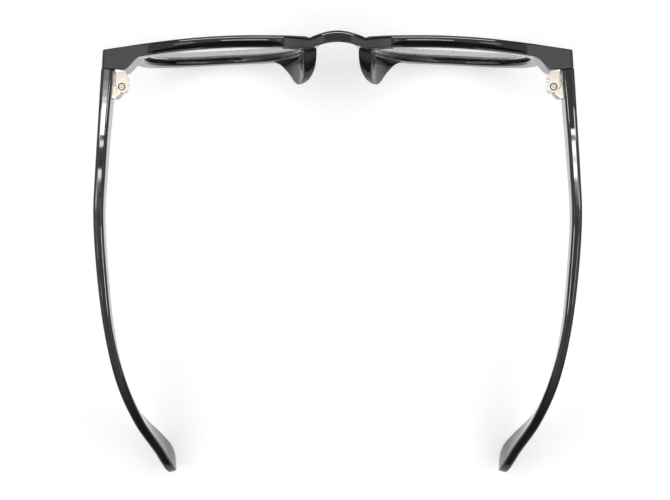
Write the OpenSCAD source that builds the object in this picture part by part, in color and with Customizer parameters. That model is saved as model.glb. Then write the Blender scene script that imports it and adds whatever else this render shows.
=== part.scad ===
// Acetate spectacles with a wellington front, standing open on the rims and temple tips.
// +X is the wearer's left, the front faces -Y, the temples run to +Y, and the ground is z = 0.

/* [Front] */
// Boxed width of one lens
lens_w = 50; // [46:0.5:52]
// Boxed height of one lens
lens_h = 39.5; // [36:0.5:42]
// Distance between the two lenses
bridge_w = 22; // [20:0.5:24]
// How far an endpiece reaches out beyond the rim
endpiece_out = 8.2; // [6.5:0.1:9.5]
// Thickness of the acetate sheet that the front is cut from
front_t = 3.9; // [3.6:0.1:4.4]
// Height of the rim under the lens
rim_bottom = 3.6; // [3:0.1:4.5]
// Height of the rim over the lens
rim_top = 4; // [3.4:0.1:5]
// Width of the rim beside the temple
rim_side = 4.6; // [4:0.1:5.4]
// Width of the rim beside the nose
rim_nose = 4.8; // [4.2:0.1:5.4]
// How far the endpiece's top lies below the brow line
endpiece_drop = 4.5; // [3.5:0.1:6]
// Height of the endpiece's outer face
endpiece_h = 13.5; // [12:0.1:15]
// Depth of the endpiece from front to rear, at its outer edge
endpiece_t = 6.6; // [6:0.1:7.2]
// Width over which the endpiece has its full depth
endpiece_w = 7.1; // [6.8:0.1:7.6]
// Length over which the rim deepens towards the endpiece
endpiece_run = 5; // [4.5:0.1:6]
// How far the endpiece's front corner lies inside its rear corner
end_draft = 0.35; // [0:0.05:1]
// How far the bridge's top lies below the brow line
bridge_drop = 7; // [5.5:0.1:8.5]
// Height of the bridge at its middle
bridge_h = 7; // [6:0.1:9]
// Half the span over which the bridge's face arches forward
arch_half = 8.2; // [7.8:0.1:8.6]
// How far the bridge's face arches forward
arch_rise = 2.1; // [1.4:0.1:2.6]
// Half the span over which the bridge's rear is hollowed
hollow_half = 9; // [8.6:0.1:9.4]
// How far the bridge's rear is hollowed
hollow_rise = 2.2; // [1.4:0.1:2.6]
// Depth of the crease between the bridge and each rim's face
crease_depth = 0.3; // [0.1:0.05:0.4]
// Radius that the front is bent to, seen from above
wrap_r = 245; // [200:5:320]
// Distance from the middle to the foremost line of each rim
fore_x = 24.5; // [20:0.5:28]
// Width of the bent part of each rim, after which it runs on straight
wrap_run = 32; // [28:0.5:36]
// Radius that each rim is dished to, seen from the side
dish_r = 500; // [400:10:800]
// Lean of the front, its lower edge to the rear, as it stands
front_lean = 2; // [0:0.5:4]
// Radius of the edges round the endpiece
round_end = 0.3; // [0.2:0.05:0.5]
// Radius of the outer edge, on the front
round_front = 1.3; // [1:0.05:1.5]
// Radius of the outer edge, on the rear
round_rear = 1; // [0.8:0.05:1.2]
// Radius of the rear edge round a lens
round_lens = 0.7; // [0.5:0.05:0.9]

/* [Lens] */
// Thickness of a lens at its edge
lens_t = 1.25; // [1.1:0.05:1.4]
// Height of the bevel that sits in the rim's groove
bevel_h = 0.7; // [0.5:0.05:0.8]
// Depth of the lens's middle plane behind the front's face
lens_set = 1.35; // [1.2:0.05:1.6]

/* [Nose pads] */
// How far a pad stands out behind the front
pad_reach = 8.6; // [7.6:0.1:9.6]
// Thickness of a pad
pad_t = 4.2; // [3.6:0.1:4.6]
// Height of a pad's upper end above the ground
pad_top = 29.3; // [28:0.1:30]
// Height over which a pad is glued to the rim
pad_len = 24.5; // [22:0.5:25]

/* [Temples] */
// Distance from the front of a temple to its tip's middle, seen from the side
temple_run = 126; // [120:0.5:132]
// Height of a temple at the hinge
temple_h = 12.8; // [11.5:0.1:13.2]
// Height of a temple at its slimmest, before the ear
temple_waist = 8.2; // [7.4:0.1:9]
// Height of a temple's tip, where it is broadest
tip_h = 12.4; // [11.4:0.1:13.2]
// Thickness of a temple at the hinge
temple_t = 3.8; // [3.6:0.1:4.2]
// Thickness of a temple behind the ear
tip_t = 3.1; // [2.8:0.1:3.4]
// How far a temple bows out beside the head
temple_bow = 3.15; // [2:0.05:4]
// How far a temple's tip lies inside its front end
tip_inset = 17.6; // [14:0.1:22]

/* [Hinges] */
// Distance from the endpiece's outer edge to a hinge's screw
hinge_inset = 6.2; // [6:0.1:6.5]
// Distance from the endpiece's rear face to the screw
hinge_y = 4.75; // [4.4:0.05:5.2]
// Outer radius of a knuckle
knuckle_r = 1.75; // [1.6:0.05:1.8]
// Height of the whole barrel of five knuckles
barrel_h = 9; // [8.4:0.1:9.6]
// Radius of the screw's shaft
screw_r = 0.7; // [0.6:0.05:0.8]
// Radius of the screw's head
head_r = 1.03; // [1:0.01:1.15]

/* [Clearances] */
// Gap between the temple's front end and the endpiece at the open stop
stop_gap = 0.05; // [0.03:0.01:0.1]
// Gap between neighbouring knuckles
knuckle_gap = 0.05; // [0.03:0.01:0.1]
// Radial gap between the screw and a temple's knuckle
screw_gap = 0.03; // [0.02:0.01:0.05]
// Gap round a metal piece that is sunk into acetate
sunk_gap = 0.02; // [0.01:0.01:0.04]
// Gap between a lens's bevel and the bottom of its groove
groove_gap = 0.12; // [0.08:0.01:0.15]
// Glue line between a nose pad and the rim
glue_gap = 0.1; // [0.08:0.01:0.12]

/* [Hidden] */

acetate = [0.03, 0.03, 0.035];
gold = [0.86, 0.68, 0.55];
steel = [0.8, 0.78, 0.75];
clear = [0.93, 0.96, 0.97, 0.35];

// Samples between two neighbouring points of a curve
fine = 3;
lean = tan(front_lean);

// Lens opening of one rim
half_w = lens_w / 2 - bevel_h;
half_h = lens_h / 2 - bevel_h;
lens_x = bridge_w / 2 + lens_w / 2;
lens_z = rim_bottom + half_h;
side_x = lens_x + half_w + rim_side;
// How square the opening's upper and lower halves are
square_top = 3.1;
square_bottom = 2.4;
// How much narrower the opening grows downwards, beside the temple and beside the nose
taper_temple = 0.06;
taper_nose = 0.14;

// Levels of the front
brow_z = lens_z + half_h + rim_top;
bridge_top = brow_z - bridge_drop;
bridge_low = bridge_top - bridge_h;
end_top = brow_z - endpiece_drop;
end_low = end_top - endpiece_h;
end_mid = (end_top + end_low) / 2;
front_half = side_x + endpiece_out;
// How far the rims reach below the ground plane before their flats are cut
flat_depth = 0.15;

// Half the width of the lens groove's mouth
groove_half = lens_t / 2 + groove_gap;
groove_depth = bevel_h + groove_gap;

// The endpiece thickens between these distances from the middle
block_to = front_half - endpiece_w;
block_from = block_to - endpiece_run;
// and between these heights
block_low = end_low - 0.3 * endpiece_h;
block_full = end_low + 0.04 * endpiece_h;

function clamp01(v) = min(max(v, 0), 1);
function smooth(v) = v * v * (3 - 2 * v);
function mix(a, b, t) = a + (b - a) * t;
function unit(v) = v / norm(v);
function last(list) = list[len(list) - 1];

// Point of a Catmull-Rom curve between b and c
function curve_at(a, b, c, d, t) =
  0.5 * (2 * b + (c - a) * t + (2 * a - 5 * b + 4 * c - d) * t * t
    + (3 * b - 3 * c + d - a) * t * t * t);

// Open curve through p[1] to the last point but one, its outer points only steering the ends
function curve(p, n) = concat(
  [for (i = [1 : len(p) - 3], k = [0 : n - 1]) curve_at(p[i - 1], p[i], p[i + 1], p[i + 2], k / n)],
  [p[len(p) - 2]]);

// Edge of the lens opening in the direction a, seen from the lens's middle
function opening(a) =
  let (n = sin(a) > 0 ? square_top : square_bottom)
  let (r = pow(pow(abs(cos(a)) / half_w, n) + pow(abs(sin(a)) / half_h, n), -1 / n))
  let (z = r * sin(a))
  let (taper = cos(a) > 0 ? taper_temple : taper_nose)
  [lens_x + r * cos(a) * (1 + taper * z / half_h), lens_z + z];

function opening_normal(a) =
  let (t = opening(a + 0.5) - opening(a - 0.5))
  unit([t[1], -t[0]]);

function rim_point(a, w) = opening(a) + opening_normal(a) * w;

// Rim width under the eye, from beside the temple to beside the nose
function rim_width(a) =
  a > -90
    ? mix(rim_bottom + flat_depth, rim_side, smooth(clamp01((a + 90) / 80)))
    : mix(rim_bottom + flat_depth, rim_nose, smooth(clamp01((-90 - a) / 75)));

// Outline of the wearer's left half of the front, from the bridge's top to its underside.
// Each point has the direction of the opening's edge that it is joined to.
function toward(x, z) = [x, z, atan2(z - lens_z, x - lens_x)];
function beside(a) =
  let (p = rim_point(a, rim_width(a)))
  [p[0], p[1], a];
outline_points = concat(
  [[-0.2 * bridge_w, bridge_top + 0.05 * bridge_drop, 163],
   [0, bridge_top, 158],
   [0.2 * bridge_w, bridge_top + 0.05 * bridge_drop, 153],
   toward(0.4 * bridge_w, bridge_top + 0.34 * bridge_drop),
   toward(lens_x - 0.88 * half_w, brow_z - 0.23 * bridge_drop),
   toward(lens_x - 0.6 * half_w, brow_z - 0.05 * bridge_drop),
   toward(lens_x - 0.16 * half_w, brow_z),
   toward(lens_x + 0.35 * half_w, brow_z - 0.09 * endpiece_drop),
   toward(lens_x + 0.85 * half_w, brow_z - 0.38 * endpiece_drop),
   toward(front_half - 0.73 * endpiece_out, end_top + 0.22 * endpiece_drop),
   toward(front_half - 0.15 * endpiece_out, end_top + 0.02 * endpiece_drop),
   toward(front_half - 0.015 * endpiece_out, end_top - 0.08 * endpiece_h),
   toward(front_half, end_top - 0.3 * endpiece_h),
   toward(front_half, end_low + 0.25 * endpiece_h),
   toward(front_half - 0.06 * endpiece_out, end_low + 0.075 * endpiece_h),
   toward(front_half - 0.34 * endpiece_out, end_low - 0.075 * endpiece_h),
   toward(side_x + 0.27 * endpiece_out, end_low - 0.3 * endpiece_h)],
  [for (a = [-9, -22, -36, -52, -70, -86, -95, -110, -125, -140, -155, -168, -180]) beside(a)],
  [[lens_x - half_w - rim_nose - 0.03 * bridge_w, bridge_low - 0.51 * bridge_h, -189],
   [0.22 * bridge_w, bridge_low - 0.21 * bridge_h, -193],
   [0.11 * bridge_w, bridge_low - 0.04 * bridge_h, -195],
   [0, bridge_low, -197],
   [-0.11 * bridge_w, bridge_low - 0.04 * bridge_h, -199]]);
outline = curve(outline_points, fine);
outline_count = len(outline);
// Points on the middle line close the half's ring
middle_count = 3;
ring_count = outline_count + middle_count;

function flat(p) = [p[0], p[1]];
function outline_normal(j) =
  j == 0 ? [0, 1]
    : j == outline_count - 1 ? [0, -1]
    : let (t = flat(outline[j + 1] - outline[j - 1])) unit([-t[1], t[0]]);
// How far along the middle line, from the underside to the top, ring point j lies
function middle_share(j) = (j - outline_count + 1) / (middle_count + 1);

// Ring point j of the outline, drawn in by the distance d
function outer(j, d) =
  j < outline_count
    ? flat(outline[j]) - outline_normal(j) * d
    : [0, mix(bridge_low + d, bridge_top - d, middle_share(j))];
function ring_angle(j) =
  j < outline_count ? outline[j][2] : mix(last(outline)[2], outline[0][2] - 360, middle_share(j));
function inner(j, w) = rim_point(ring_angle(j), w);

// Depth of the front seen from above, from the foremost line of a rim: level beside the nose,
// bent round the lens, and straight again at the endpiece
function wrap(x) =
  let (d = max(0, x - fore_x), bent = min(d, wrap_run))
  (bent * bent + 2 * wrap_run * (d - bent)) / (2 * wrap_r);
function plane_y(x, z) = wrap(x) + pow(z - lens_z, 2) / (2 * dish_r) + (lens_z - z) * lean;

// Share of the arch over the bridge, and of the creases beside it
arch_power = 1.15;
crease_x = 8.75;
crease_half = 0.9;
function arch(x, half) = pow(max(0, 1 - pow(x / half, 2)), arch_power);
function crease(x) = max(0, 1 - pow((x - crease_x) / crease_half, 2));
function face_y(x, z) = plane_y(x, z) - arch_rise * arch(x, arch_half) + crease_depth * crease(x);

// The face between endpiece and temple is turned a little, over the temple's thickness
mitre_slant = 0.15;
slant_from = front_half - temple_t;
mitre_y = wrap(front_half) + endpiece_t + (lens_z - end_mid) * lean;
function mitre_at(x, z) = mitre_y + (end_mid - z) * lean - mitre_slant * max(0, x - slant_from);
function block_share(x) = clamp01((x - block_from) / (block_to - block_from));
function block(x, z) =
  smooth(block_share(x)) * smooth(clamp01((z - block_low) / (block_full - block_low)));
function rear_y(x, z) =
  mix(plane_y(x, z) + front_t - hollow_rise * arch(x, hollow_half), mitre_at(x, z), block(x, z));
// The endpiece's outer wall spreads towards the rear
function spread(x, y) = x + end_draft * block_share(x) * (y - mitre_y) / endpiece_t;

function placed(p, y) = [spread(p[0], y), y, p[1]];
function at_face(p, d) = placed(p, face_y(p[0], p[1]) + d);
function at_rear(p, d) = placed(p, rear_y(p[0], p[1]) - d);

// Quarter-round steps, as the inset and the depth for an edge of radius r
function quarter(r, n) = [for (i = [0 : n]) [r * (1 - sin(90 * i / n)), r * (1 - cos(90 * i / n))]];
function reversed(list) = [for (i = [len(list) - 1 : -1 : 0]) list[i]];

// Share of the way out of a zone, given by its direction, its spread and the fade beyond
function away(a, zone) = smooth(clamp01((abs(a - zone[0]) - zone[1]) / zone[2]));
end_zone_front = [10, 23, 22];
end_zone_rear = [10, 14, 10];
// The rear edge stays crisp where a nose pad is glued against it
pad_zone = [-166, 24, 8];
crisp = 0.15;
function front_round(a) = mix(round_end, round_front, away(a, end_zone_front));
function rear_round(a) =
  mix(crisp, mix(round_end, round_rear, away(a, end_zone_rear)), away(a, pad_zone));

// One section of the rim, once round from the face's outer edge
front_spans = 3;
// Shares of the way across the rear, closer together where the endpiece thickens
rear_shares = [0.3, 0.53, 0.66, 0.78, 0.9];
function rim_section(j) =
  let (f = front_round(ring_angle(j)), r = rear_round(ring_angle(j)))
  concat(
  [for (q = quarter(f, 3)) at_face(outer(j, q[0]), q[1])],
  [for (q = reversed(quarter(r, 2))) at_rear(outer(j, q[0]), q[1])],
  [for (t = rear_shares) at_rear(mix(outer(j, r), inner(j, round_lens), t), 0)],
  [for (q = quarter(round_lens, 2)) at_rear(inner(j, q[0]), q[1])],
  [at_face(inner(j, 0), lens_set + groove_half),
   at_face(inner(j, groove_depth), lens_set),
   at_face(inner(j, 0), lens_set - groove_half)],
  [at_face(inner(j, round_lens), 0)],
  [for (i = [1 : front_spans - 1])
    at_face(mix(inner(j, round_lens), outer(j, f), i / front_spans), 0)]);
// Steps of a section that lie on the outer wall
wall_steps = 6;

front_points = [for (j = [0 : ring_count - 1]) each rim_section(j)];
section_size = len(front_points) / ring_count;

// Two triangles between neighbouring sections, left out on the wall of the middle line
function strip(a, b, k, n) =
  let (m = (k + 1) % n)
  [[a * n + k, b * n + k, b * n + m], [a * n + k, b * n + m, a * n + m]];
half_faces = [
  for (j = [0 : ring_count - 1], k = [0 : section_size - 1])
    if (k >= wall_steps || j < outline_count - 1)
      each strip(j, (j + 1) % ring_count, k, section_size)];

function flip_x(p) = [for (v = p) [v[0] == 0 ? 0 : -v[0], v[1], v[2]]];
function flip_faces(f) = [for (t = f) [t[2], t[1], t[0]]];
function shift_faces(f, n) = [for (t = f) [t[0] + n, t[1] + n, t[2] + n]];

module front_body() {
  polyhedron(
    points = concat(front_points, flip_x(front_points)),
    faces = concat(flip_faces(half_faces), shift_faces(half_faces, len(front_points))));
}

// Sides of a loft through sections of n points each
function loft_sides(count, n) = [for (j = [0 : count - 2], k = [0 : n - 1]) each strip(j, j + 1, k, n)];

// Closed loft, its ends fanned from their middles
function middle(section) =
  [for (i = [0 : 2]) min([for (p = section) p[i]]) / 2 + max([for (p = section) p[i]]) / 2];
function fan(n, first, centre) = [for (k = [0 : n - 1]) [centre, first + k, first + (k + 1) % n]];
module loft(sections) {
  n = len(sections[0]);
  size = n * len(sections);
  polyhedron(
    points = concat([for (s = sections) each s], [middle(sections[0]), middle(last(sections))]),
    faces = concat(flip_faces(loft_sides(len(sections), n)), flip_faces(fan(n, 0, size)),
      fan(n, size - n, size + 1)));
}

// Closed loft through long, bent sections, whose points k and n - k lie opposite each other
function ribbon(n, first) = concat(
  [for (k = [0 : n / 2 - 2]) [first + k, first + k + 1, first + n - k - 1]],
  [for (k = [1 : n / 2 - 1]) [first + k, first + n - k - 1, first + n - k]]);
module ribbon_loft(sections) {
  n = len(sections[0]);
  polyhedron(
    points = [for (s = sections) each s],
    faces = concat(flip_faces(loft_sides(len(sections), n)), flip_faces(ribbon(n, 0)),
      ribbon(n, n * (len(sections) - 1))));
}

// Height of a temple before its waist and behind it, as a share of the way
function fore_h(share) = mix(temple_h, temple_waist, share);
function rear_h(share) = mix(temple_waist, tip_h, share);

// Temple stations: share of the run, share of the bow, share of the tip's inset, share of
// the drop, share of the way to the tip's thickness, height, and how far the section is turned
// about its upper edge, the lower edge towards the middle.
// The first and the last only steer the ends.
temple_stations = [
  [-0.12, -0.39, 0, -0.017, 0, fore_h(0), 0],
  [0, 0, 0, 0, 0, fore_h(0), 0],
  [0.12, 0.39, 0, 0.017, 0.55, fore_h(0.17), 0],
  [0.25, 0.78, 0, 0.041, 0.72, fore_h(0.565), 0],
  [0.36, 1, 0, 0.058, 0.83, fore_h(0.825), 0],
  [0.5, 0.7, 0, 0.084, 0.94, fore_h(0.98), 0],
  [0.64, 0, -0.013, 0.116, 1.5, fore_h(1), 0],
  [0.76, 0, 0.191, 0.203, 0.93, rear_h(0.26), -5],
  [0.86, 0, 0.454, 0.453, 1.1, rear_h(0.7), -5],
  [0.94, 0, 0.765, 0.723, 1.15, rear_h(1), 3.5],
  [1, 0, 0.975, 0.929, 1, rear_h(0.95), 10.5],
  [1.05, 0, 1.12, 1.097, 1, rear_h(0.9), 6.5]];
temple_last = len(temple_stations) - 3;
// The temple's outer face stands this far outside the endpiece's
temple_proud = 0.05;
temple_x = front_half + temple_proud - temple_t / 2;
temple_y = mitre_y + stop_gap;

function station(u) =
  let (i = max(0, min(floor(u), temple_last - 1)))
  curve_at(temple_stations[i], temple_stations[i + 1], temple_stations[i + 2],
    temple_stations[i + 3], u - i);
function temple_point(u) =
  let (s = station(u))
  [temple_x + s[1] * temple_bow - s[2] * tip_inset, temple_y + s[0] * temple_run, end_mid * (1 - s[3])];

// Outline of a box section with rounded corners, four points to a corner
function box_section(w, h, r) = [
  for (c = [[1, 1, 0], [-1, 1, 90], [-1, -1, 180], [1, -1, 270]], i = [0 : 3])
    [c[0] * (w / 2 - r) + r * cos(c[2] + 30 * i), c[1] * (h / 2 - r) + r * sin(c[2] + 30 * i)]];

// Section of the temple's path at u, with w across it and h up it, turned as the temple is
function turned(q, a) = [q[0] * cos(a) + q[1] * sin(a), q[1] * cos(a) - q[0] * sin(a)];
function path_section(u, w, h, r) =
  let (s = station(u), edge = [0, s[5] / 2])
  let (t = unit(temple_point(u + 0.02) - temple_point(u - 0.02)))
  let (side = unit([t[1], -t[0], 0]))
  let (up = cross(side, t))
  [for (q = box_section(w, h, r))
    let (v = edge + turned(q - edge, s[6]))
    temple_point(u) + side * v[0] + up * v[1]];

edge_r = 0.95;
function thickness(s) = mix(temple_t, tip_t, s[4]);
function body_station(u) =
  let (s = station(u))
  path_section(u, thickness(s), s[5], edge_r);
// The tip is rounded off over the last stretch of the path
tip_span = 0.7;
tip_from = temple_last - tip_span;
function tip_station(a) =
  let (u = tip_from + tip_span * sin(a))
  let (s = station(u))
  let (w = thickness(s) * mix(0.2, 1, cos(a)))
  path_section(u, w, s[5] * cos(a), edge_r * mix(0.3, 1, cos(a)) * cos(a));
drawn_sections = concat(
  [for (u = [0 : 0.5 : tip_from]) body_station(u)],
  [for (a = [15, 35, 55, 70, 82]) tip_station(a)]);

// All drops are drawn out alike, so that the tip just meets the ground
low_point = min([for (section = drawn_sections, p = section) p[2]]);
ground_scale = end_mid / (end_mid - low_point);
function grounded(section) = [for (p = section) [p[0], p[1], end_mid + (p[2] - end_mid) * ground_scale]];
// The temple's front end is moved along t into the mitre plane
function mitred(section, t) =
  [for (p = section)
    p - t * (p[1] - mitre_at(p[0], p[2]) - stop_gap) / (t[1] + t[2] * lean + t[0] * mitre_slant)];
temple_sections = concat(
  [mitred(grounded(drawn_sections[0]), unit(temple_point(0.02) - temple_point(0)))],
  [for (i = [1 : len(drawn_sections) - 1]) grounded(drawn_sections[i])]);

// Core wire inside a temple, and its channel when gap is more than 0
core_w = 1.3;
core_h = 2.6;
core_edge = 0.4;
core_from = 0.98;
core_to = temple_last - 1.13;
core_count = 13;
// The channel runs on a little beyond both ends of the wire
function core_station(i, gap) =
  mix(core_from, core_to, i / core_count) + (i == 0 ? -gap : i == core_count ? gap : 0) / core_w / 4;
function core_sections(gap) = [
  for (i = [0 : core_count])
    grounded(path_section(core_station(i, gap), core_w + 2 * gap, core_h + 2 * gap, core_edge))];

// Place of the hinge's middle, a little below the endpiece's
hinge_sink = 0.45;
hinge_z = end_mid - hinge_sink;
hinge_x = front_half - hinge_inset;
hinge_place = [hinge_x, mitre_at(hinge_x, hinge_z) + hinge_y, hinge_z];
knuckle_count = 5;
knuckle_h = (barrel_h - (knuckle_count - 1) * knuckle_gap) / knuckle_count;
knuckle_step = knuckle_h + knuckle_gap;
// Knuckles 0, 2 and 4 belong to the front and 1 and 3 to the temple
function knuckle_low(i) = -barrel_h / 2 + i * knuckle_step;
// Room round a knuckle that turns past the other leaf
turn_gap = 0.15;
// Distance from the screw to the temple's inner face
to_temple = hinge_inset + temple_proud - temple_t;
// Front leaf, from the screw towards the temple and towards the nose, which side is narrower at
// the endpiece, and how deep it is sunk there
leaf_room = 0.45;
leaf_out = to_temple - leaf_room;
leaf_in = knuckle_r;
leaf_in_front = 1;
leaf_sunk = 0.6;
// Gap between the front leaf's links and the temple's leaf
link_gap = 0.35;
// Anchor of the front leaf
anchor_out = leaf_out - 0.1;
anchor_in = 0.9;
anchor_sunk = 3.6;
anchor_h = 7;
// Screw: fixed fit in the front leaf, head, slot, and how far its end stays inside
press_gap = 0.01;
head_h = 0.75;
head_gap = 0.06;
slot_w = 0.34;
slot_d = 0.4;
screw_short = 0.1;

module knuckle(i) {
  translate([0, 0, knuckle_low(i)]) cylinder(r = knuckle_r, h = knuckle_h, $fn = 64);
}

// Upright plate of the height h about the hinge's level, its outline drawn out by gap
module plate(h, gap, outline) {
  translate([0, 0, -h / 2 - gap])
    linear_extrude(h + 2 * gap) offset(delta = gap) polygon(outline);
}

// Front leaf: a block behind the endpiece and an anchor sunk into it
leaf_rear_y = -knuckle_r - turn_gap;
leaf_deep_y = -hinge_y - leaf_sunk;
module front_leaf(gap) {
  plate(barrel_h, gap, [[-leaf_in_front, leaf_deep_y], [leaf_out, leaf_deep_y],
    [leaf_out, leaf_rear_y], [-leaf_in, leaf_rear_y]]);
  plate(anchor_h, gap, [[-anchor_in, -hinge_y - anchor_sunk], [anchor_out, -hinge_y - anchor_sunk],
    [anchor_out, leaf_deep_y], [-anchor_in, leaf_deep_y]]);
}

module front_hinge() {
  translate(hinge_place) {
    difference() {
      union() {
        front_leaf(0);
        for (i = [0, 2, 4]) {
          knuckle(i);
          translate([0, 0, knuckle_low(i)])
            linear_extrude(knuckle_h)
              polygon([[-leaf_in, leaf_rear_y], [leaf_out, leaf_rear_y], [leaf_out, -link_gap],
                [0, 0], [-leaf_in, 0]]);
        }
      }
      translate([0, 0, -barrel_h]) cylinder(r = screw_r + press_gap, h = 2 * barrel_h, $fn = 48);
      translate([0, 0, barrel_h / 2 - head_h]) cylinder(r = head_r + head_gap, h = barrel_h, $fn = 48);
    }
  }
}

// Temple leaf: a wedge from the barrel to the temple, and an anchor sunk into its inner face
leaf_h = 8.4;
leaf_front = 0.1;
leaf_rear = 3.5;
anchor_rear = 7.4;
anchor_from = to_temple + 0.75;
anchor_to = anchor_from + 1.3;
// The wedge's slanted side runs between these two points
wedge_start = [-0.3, 1.45];
wedge_end = [1.6, leaf_rear];
module temple_leaf(gap) {
  plate(leaf_h, gap, [[wedge_start[0], leaf_front], [anchor_to, leaf_front],
    [anchor_to, anchor_rear], [anchor_from, anchor_rear], [anchor_from, leaf_rear],
    wedge_end, wedge_start]);
}

module temple_hinge() {
  translate(hinge_place) {
    difference() {
      union() {
        difference() {
          temple_leaf(0);
          for (i = [0, 2, 4])
            translate([0, 0, knuckle_low(i) - knuckle_gap])
              cylinder(r = knuckle_r + turn_gap, h = knuckle_h + 2 * knuckle_gap, $fn = 64);
        }
        for (i = [1, 3]) knuckle(i);
      }
      translate([0, 0, -barrel_h]) cylinder(r = screw_r + screw_gap, h = 2 * barrel_h, $fn = 48);
    }
  }
}

module hinge_screw() {
  translate(hinge_place) {
    difference() {
      union() {
        translate([0, 0, -barrel_h / 2]) cylinder(r = screw_r, h = barrel_h - screw_short, $fn = 48);
        translate([0, 0, barrel_h / 2 - head_h]) cylinder(r = head_r, h = head_h, $fn = 48);
      }
      translate([-2 * head_r, -slot_w / 2, barrel_h / 2 - slot_d]) cube([4 * head_r, slot_w, 2 * slot_d]);
    }
  }
}

module front_frame() {
  difference() {
    front_body();
    // Pockets for the hinges' anchors
    for (m = [0, 1]) mirror([m, 0, 0]) translate(hinge_place) front_leaf(sunk_gap);
    // Flats that the rims stand on
    translate([-front_half, -front_half, -front_half]) cube([2 * front_half, 2 * front_half, front_half]);
  }
}

module temple() {
  difference() {
    loft(temple_sections);
    loft(core_sections(sunk_gap));
    translate(hinge_place) temple_leaf(sunk_gap);
  }
}

// Lens: a dished disc with a bevel round its edge
lens_rings = [0.55, 1];
function lens_point(j, share, w, d) =
  at_face(mix([lens_x, lens_z], inner(j, w), share), lens_set + d);
function lens_ring(share, w, d) = [for (j = [0 : ring_count - 1]) lens_point(j, share, w, d)];
lens_sections = concat(
  [for (s = lens_rings) lens_ring(s, 0, lens_t / 2)],
  [lens_ring(1, bevel_h, 0)],
  [for (s = reversed(lens_rings)) lens_ring(s, 0, -lens_t / 2)]);

// Nose pad profile: share of its length from the top, and share of its reach
pad_points = [
  [-0.03, -0.2], [0, 0], [0.05, 0.32], [0.14, 0.62], [0.26, 0.87], [0.42, 1], [0.58, 0.99],
  [0.68, 0.84], [0.76, 0.61], [0.85, 0.34], [0.93, 0.11], [1, 0], [1.06, -0.05]];
pad_steps = 2;
pad_curve = curve(pad_points, pad_steps);
// Below each point of the curve, the profile has one on the rim
pad_profile = concat(pad_curve, [for (i = [len(pad_curve) - 2 : -1 : 1]) [pad_curve[i][0], 0]]);
// Layers across a pad from the nose side: distance from that side, share of the reach that the
// layer may have, and the inset of its edge
pad_chamfer = 0.45;
pad_fullness = 0.75;
pad_layers = concat(
  [for (a = [14 : 19 : 90]) [(pad_t - pad_chamfer) * (1 - cos(a)), pow(sin(a), pad_fullness), 0]],
  [for (a = [45, 90]) [pad_t - pad_chamfer * (1 - sin(a)), 1, pad_chamfer * (1 - cos(a))]]);
// The lesser of both shares of the reach, with the corner between them rounded
pad_power = 10;
function pad_out(share, limit) =
  share <= 0 ? share : pow(pow(share, -pad_power) + pow(limit, -pad_power) - 1, -1 / pad_power);
// The rim's edge beside the nose, as a table from height to distance from the middle
nose_edge = [for (j = [outline_count - 1 : -1 : 0])
  if (outline[j][2] < -115 && outline[j][0] > 0.18 * bridge_w) flat([outline[j][1], outline[j][0]])];
// Above this height a pad runs on straight
pad_straight = pad_top - 3.8;
pad_sections = [
  for (layer = pad_layers) [
    for (q = pad_profile)
      let (t = layer[2] / pad_reach)
      let (z = pad_top - pad_len * mix(q[0], 0.5, t))
      let (x = lookup(min(z, pad_straight), nose_edge) + layer[0])
      let (out = mix(pad_out(q[1], layer[1]), 0, t))
      [x, rear_y(x, z) + glue_gap + pad_reach * out, z]]];

// The origin lies midway between the bridge's front and the temple tips
front_most = min([for (p = front_points) p[1]]);
rear_most = max([for (section = temple_sections, p = section) p[1]]);
origin_y = -(front_most + rear_most) / 2;

module placed_left(tone) {
  color(tone) translate([0, origin_y, 0]) children();
}

module placed_right(tone) {
  color(tone) translate([0, origin_y, 0]) mirror([1, 0, 0]) children();
}

placed_left(acetate) front_frame();
placed_left(acetate) ribbon_loft(pad_sections);  // nose_pad_left
placed_right(acetate) ribbon_loft(pad_sections);  // nose_pad_right
placed_left(clear) loft(lens_sections);  // lens_left
placed_right(clear) loft(lens_sections);  // lens_right
placed_left(gold) front_hinge();  // front_hinge_left
placed_right(gold) front_hinge();  // front_hinge_right
placed_left(gold) temple_hinge();  // temple_hinge_left
placed_right(gold) temple_hinge();  // temple_hinge_right
placed_left(gold) hinge_screw();  // hinge_screw_left
placed_right(gold) hinge_screw();  // hinge_screw_right
placed_left(acetate) temple();  // temple_left
placed_right(acetate) temple();  // temple_right
placed_left(steel) loft(core_sections(0));  // temple_core_left
placed_right(steel) loft(core_sections(0));  // temple_core_right
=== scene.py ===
"""Black acetate spectacles with a wellington front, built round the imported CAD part.

The outlines repeat part.scad's curves at a higher resolution. Lengths here are in
millimetres and become metres when a mesh is made. +X is the wearer's left.
"""
import math

import bmesh
import bpy
import numpy as np
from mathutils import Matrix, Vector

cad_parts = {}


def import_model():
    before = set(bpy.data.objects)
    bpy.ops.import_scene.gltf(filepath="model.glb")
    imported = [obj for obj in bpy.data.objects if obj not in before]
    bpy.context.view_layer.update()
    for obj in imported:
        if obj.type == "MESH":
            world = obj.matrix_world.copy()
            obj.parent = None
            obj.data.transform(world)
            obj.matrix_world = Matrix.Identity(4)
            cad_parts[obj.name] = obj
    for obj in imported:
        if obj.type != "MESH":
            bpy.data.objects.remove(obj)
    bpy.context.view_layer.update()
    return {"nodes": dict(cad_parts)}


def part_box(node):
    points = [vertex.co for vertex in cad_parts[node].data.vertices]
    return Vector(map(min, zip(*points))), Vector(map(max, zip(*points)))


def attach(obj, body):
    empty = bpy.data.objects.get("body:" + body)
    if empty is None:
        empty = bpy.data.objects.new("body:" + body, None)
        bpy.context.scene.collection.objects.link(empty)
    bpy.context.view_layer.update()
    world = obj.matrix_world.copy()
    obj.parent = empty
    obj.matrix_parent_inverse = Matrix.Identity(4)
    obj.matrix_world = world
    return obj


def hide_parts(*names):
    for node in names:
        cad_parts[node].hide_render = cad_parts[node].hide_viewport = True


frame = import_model()

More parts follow.
